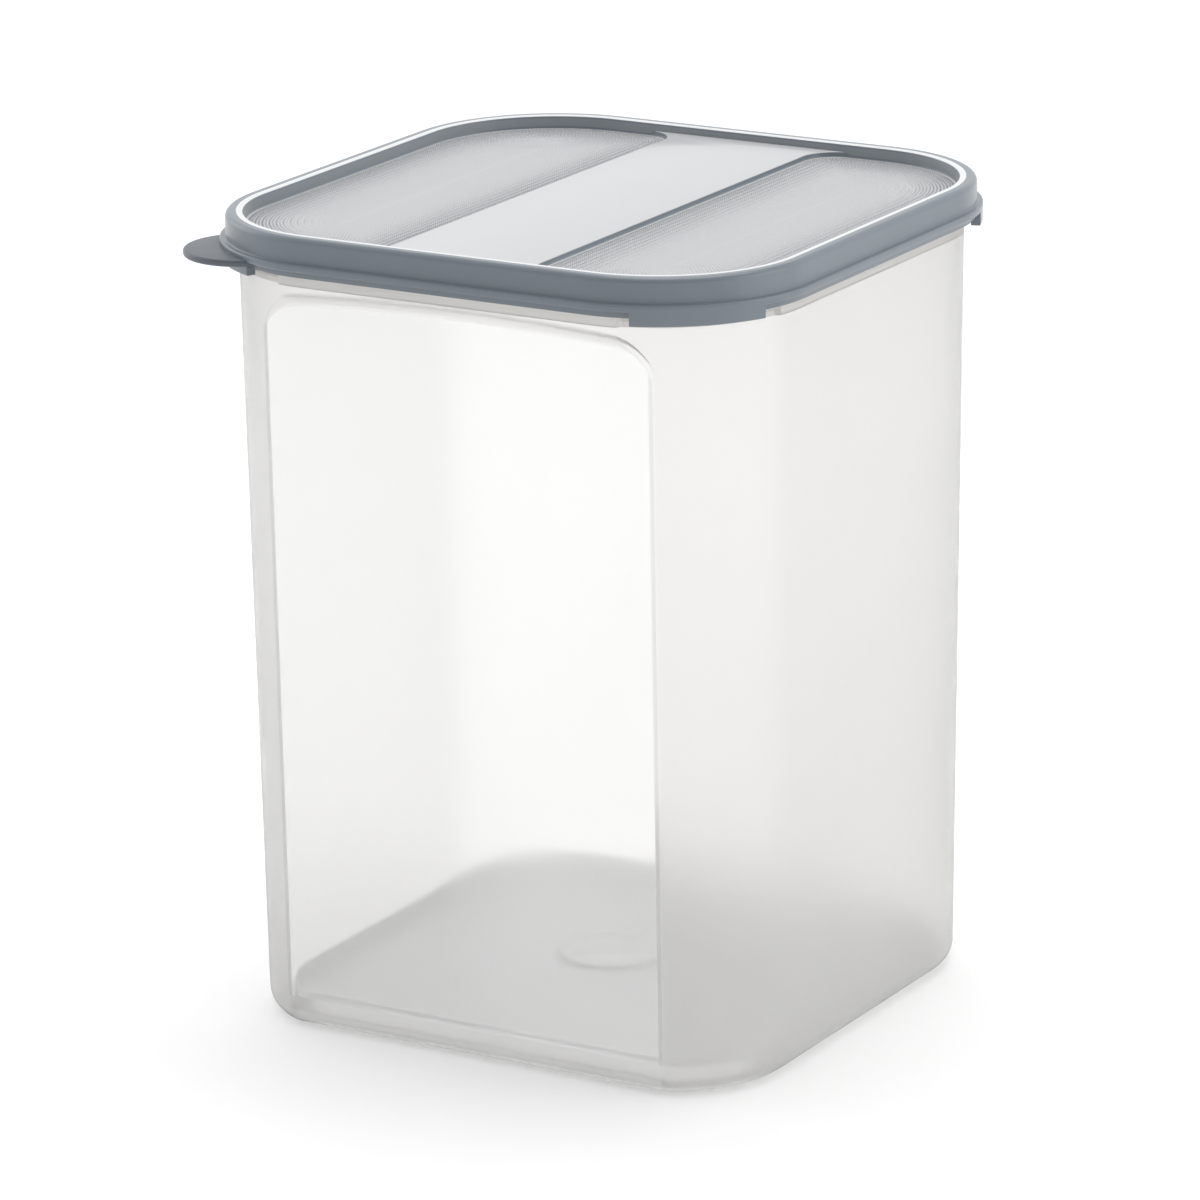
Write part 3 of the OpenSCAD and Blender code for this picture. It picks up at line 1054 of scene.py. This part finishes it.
def buildTab(size):
    centre, middle, wall = square["cornerCentre"], size["middle"], size["wallRadius"]
    apart = (middle - centre) * math.sqrt(2)
    along = (apart ** 2 + wall ** 2 - size["radius"] ** 2) / (2 * apart)
    across = math.sqrt(wall ** 2 - along ** 2)
    rootTurn = math.degrees(math.atan2(across, along))
    discTurn = math.degrees(math.atan2(across, along - apart))
    facing, edge, steps = pick(size, "direction rounding edgeSteps")
    high, low = size["top"] - edge, size["top"] - size["thickness"] + edge
    levels = [(edge - x, high + z) for x, z in arc(0, 0, edge, 90, 0, steps)]
    levels += [(edge - x, low + z) for x, z in arc(0, 0, edge, 0, -90, steps)]
    shape = bmesh.new()
    rings = []
    for inward, z in levels:
        points = arc(-middle, -middle, size["radius"] - inward,
                     facing - discTurn, facing + discTurn, size["points"])
        points += arc(-centre, -centre, wall, facing + rootTurn, facing - rootTurn,
                      size["rootPoints"])[1:-1]
        rings.append([shape.verts.new((x, y, z)) for x, y in points])
    for upper, lower in zip(rings, rings[1:]):
        for i in range(len(upper)):
            j = (i + 1) % len(upper)
            shape.faces.new((upper[i], upper[j], lower[j], lower[i]))
    shape.faces.new(rings[0])
    shape.faces.new(rings[-1])
    bmesh.ops.recalc_face_normals(shape, faces=shape.faces)
    return finishShape("pullTab", shape, size["sharpAngle"], tabPaintedShadePlastic)


tabPiece = buildTab(tab)
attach(tabPiece, "lid")

# the floor and the light
studio = {
    "floorReach": 8.0,
    "floorDrop": 0.0003,          # keeps the floor clear of the foot
    "floorColour": (0.84, 0.84, 0.84),
    "floorRoughness": 0.9,
    "floorGlow": 0.28,
    "paintedPoolGlow": 0.11,          # painted light: a glow the floor adds near the tub, seen only through the plastic
    "paintedPoolCentre": (0.01, 0.015, 0.0),
    "paintedPoolReach": (0.06, 0.15),
    "worldLight": 0.92,
    "dimSide": (0.5, -0.866, 0.0),
    "dimRange": (-0.1, 0.7),      # the world dims as it turns to that side
    "lightDim": 0.45,
    "glossDim": 0.75,
    "gapRange": (0.45, 0.62),     # and reflects less above these heights
    "gapDim": 0.6,
}

softboxes = {
    "topLight": {"place": (-0.05, 0.35, 1.35), "aim": (0, 0, 0.2), "size": (0.9, 0.7),
                 "power": 4.8, "colour": (1, 1, 1)},
    "rightLight": {"place": (1.5, 0.3, 0.6), "aim": (0, 0, 0.15), "size": (1.2, 1.2),
                   "power": 5.5, "colour": (1, 0.99, 0.97)},
    "leftLight": {"place": (-1.4, 0.1, 0.8), "aim": (0, 0, 0.12), "size": (1.0, 1.2),
                  "power": 3.0, "colour": (0.98, 0.99, 1)},
}


def anyRay(tree, first, *others):
    # 1 for rays of these kinds
    path = tree.nodes.new("ShaderNodeLightPath")
    total = out(path, f"Is {first} Ray")
    for kind in others:
        total = total + out(path, f"Is {kind} Ray")
    return total.least(1.0) if others else total


def buildFloor(values):
    mesh = bpy.data.meshes.new("floor")
    reach, drop = values["floorReach"], -values["floorDrop"]
    mesh.from_pydata([(x * reach, y * reach, drop) for x, y in
                      ((-1, -1), (1, -1), (1, 1), (-1, 1))], [], [(0, 1, 2, 3)])
    floor = addObject("floor", mesh)
    material, tree, shader = newMaterial("paleFloor")
    shader.inputs["Base Color"].default_value = (*values["floorColour"], 1)
    shader.inputs["Roughness"].default_value = values["floorRoughness"]
    shader.inputs["Specular IOR Level"].default_value = 0.0
    shader.inputs["Emission Color"].default_value = (1, 1, 1, 1)
    spot = out(tree.nodes.new("ShaderNodeTexCoord"), "Object")
    away = out(addNode(tree, "ShaderNodeVectorMath", {0: spot, 1: values["paintedPoolCentre"]},
                       operation="DISTANCE"), "Value")
    near = away.ramp(*values["paintedPoolReach"], 1.0, 0.0, True)
    seen = anyRay(tree, "Camera", "Glossy", "Transmission")
    # painted light: the floor glows more near the tub where it is seen through the plastic
    through = anyRay(tree, "Transmission")
    feed(tree, seen * values["floorGlow"] + through * near * values["paintedPoolGlow"],
         shader.inputs["Emission Strength"])
    mesh.materials.append(material)


def buildWorld(values):
    # white behind the object, and dimmer on the other side
    world = bpy.data.worlds.new("studio")
    world.use_nodes = True
    bpy.context.scene.world = world
    tree = world.node_tree
    background = tree.nodes["Background"]
    background.inputs["Color"].default_value = (1, 1, 1, 1)
    direction = out(tree.nodes.new("ShaderNodeTexCoord"), "Generated")
    toSide = out(addNode(tree, "ShaderNodeVectorMath",
                         {0: direction, 1: values["dimSide"]}, operation="DOT_PRODUCT"), "Value")
    height = split(tree, direction)[2]
    dim = toSide.ramp(*values["dimRange"], 0.0, 1.0, True)
    gap = height.ramp(*values["gapRange"], 0.0, 1.0, True)
    shine = (-(dim * values["glossDim"]) + 1.0) * (-(gap * values["gapDim"]) + 1.0)
    soft = (-(dim * values["lightDim"]) + 1.0) * values["worldLight"]
    direct, glossy = anyRay(tree, "Camera", "Transmission"), anyRay(tree, "Glossy")
    indirect = glossy * shine + (-glossy + 1.0) * soft
    feed(tree, direct + (-direct + 1.0) * indirect, background.inputs["Strength"])


def buildLight(name, values):
    light = bpy.data.lights.new(name, "AREA")
    light.shape = "RECTANGLE"
    light.size, light.size_y = values["size"]
    light.energy = values["power"]
    light.color = values["colour"]
    lamp = addObject(name, light)
    lamp.location = values["place"]
    ahead = Vector(values["aim"]) - Vector(values["place"])
    lamp.rotation_euler = ahead.to_track_quat("-Z", "Y").to_euler()


buildFloor(studio)
buildWorld(studio)
for name, values in softboxes.items():
    buildLight(name, values)

view = {
    "lens": 195.0,
    "sensorWidth": 36.0,
    "azimuth": 30.515,
    "elevation": 16.464,
    "roll": 0.785,
    "target": (0.0, 0.0, 0.115),
    "shiftRight": 0.002589,
    "shiftUp": 0.003913,
    "distance": 1.801937,
}


def buildCamera(values):
    turn, rise, roll = map(math.radians, pick(values, "azimuth elevation roll"))
    back = Vector((math.sin(turn) * math.cos(rise), -math.cos(turn) * math.cos(rise),
                   math.sin(rise)))
    forward = -back
    right = forward.cross(Vector((0, 0, 1))).normalized()
    up = right.cross(forward)
    level = Matrix((right, up, forward))
    spin = Matrix(((math.cos(roll), -math.sin(roll), 0),
                   (math.sin(roll), math.cos(roll), 0), (0, 0, 1)))
    rows = spin @ level
    place = Vector(values["target"]) - rows.transposed() @ Vector(
        (values["shiftRight"], values["shiftUp"], values["distance"]))
    data = bpy.data.cameras.new("camera")
    data.lens = values["lens"]
    data.sensor_fit = "HORIZONTAL"
    data.sensor_width = values["sensorWidth"]
    camera = addObject("camera", data)
    camera.matrix_world = Matrix([
        (rows[0][i], rows[1][i], -rows[2][i], place[i]) for i in range(3)] + [(0, 0, 0, 1)])
    bpy.context.scene.camera = camera


buildCamera(view)
bpy.context.scene.view_settings.view_transform = "Standard"
print("stage: floor, light and camera ready")
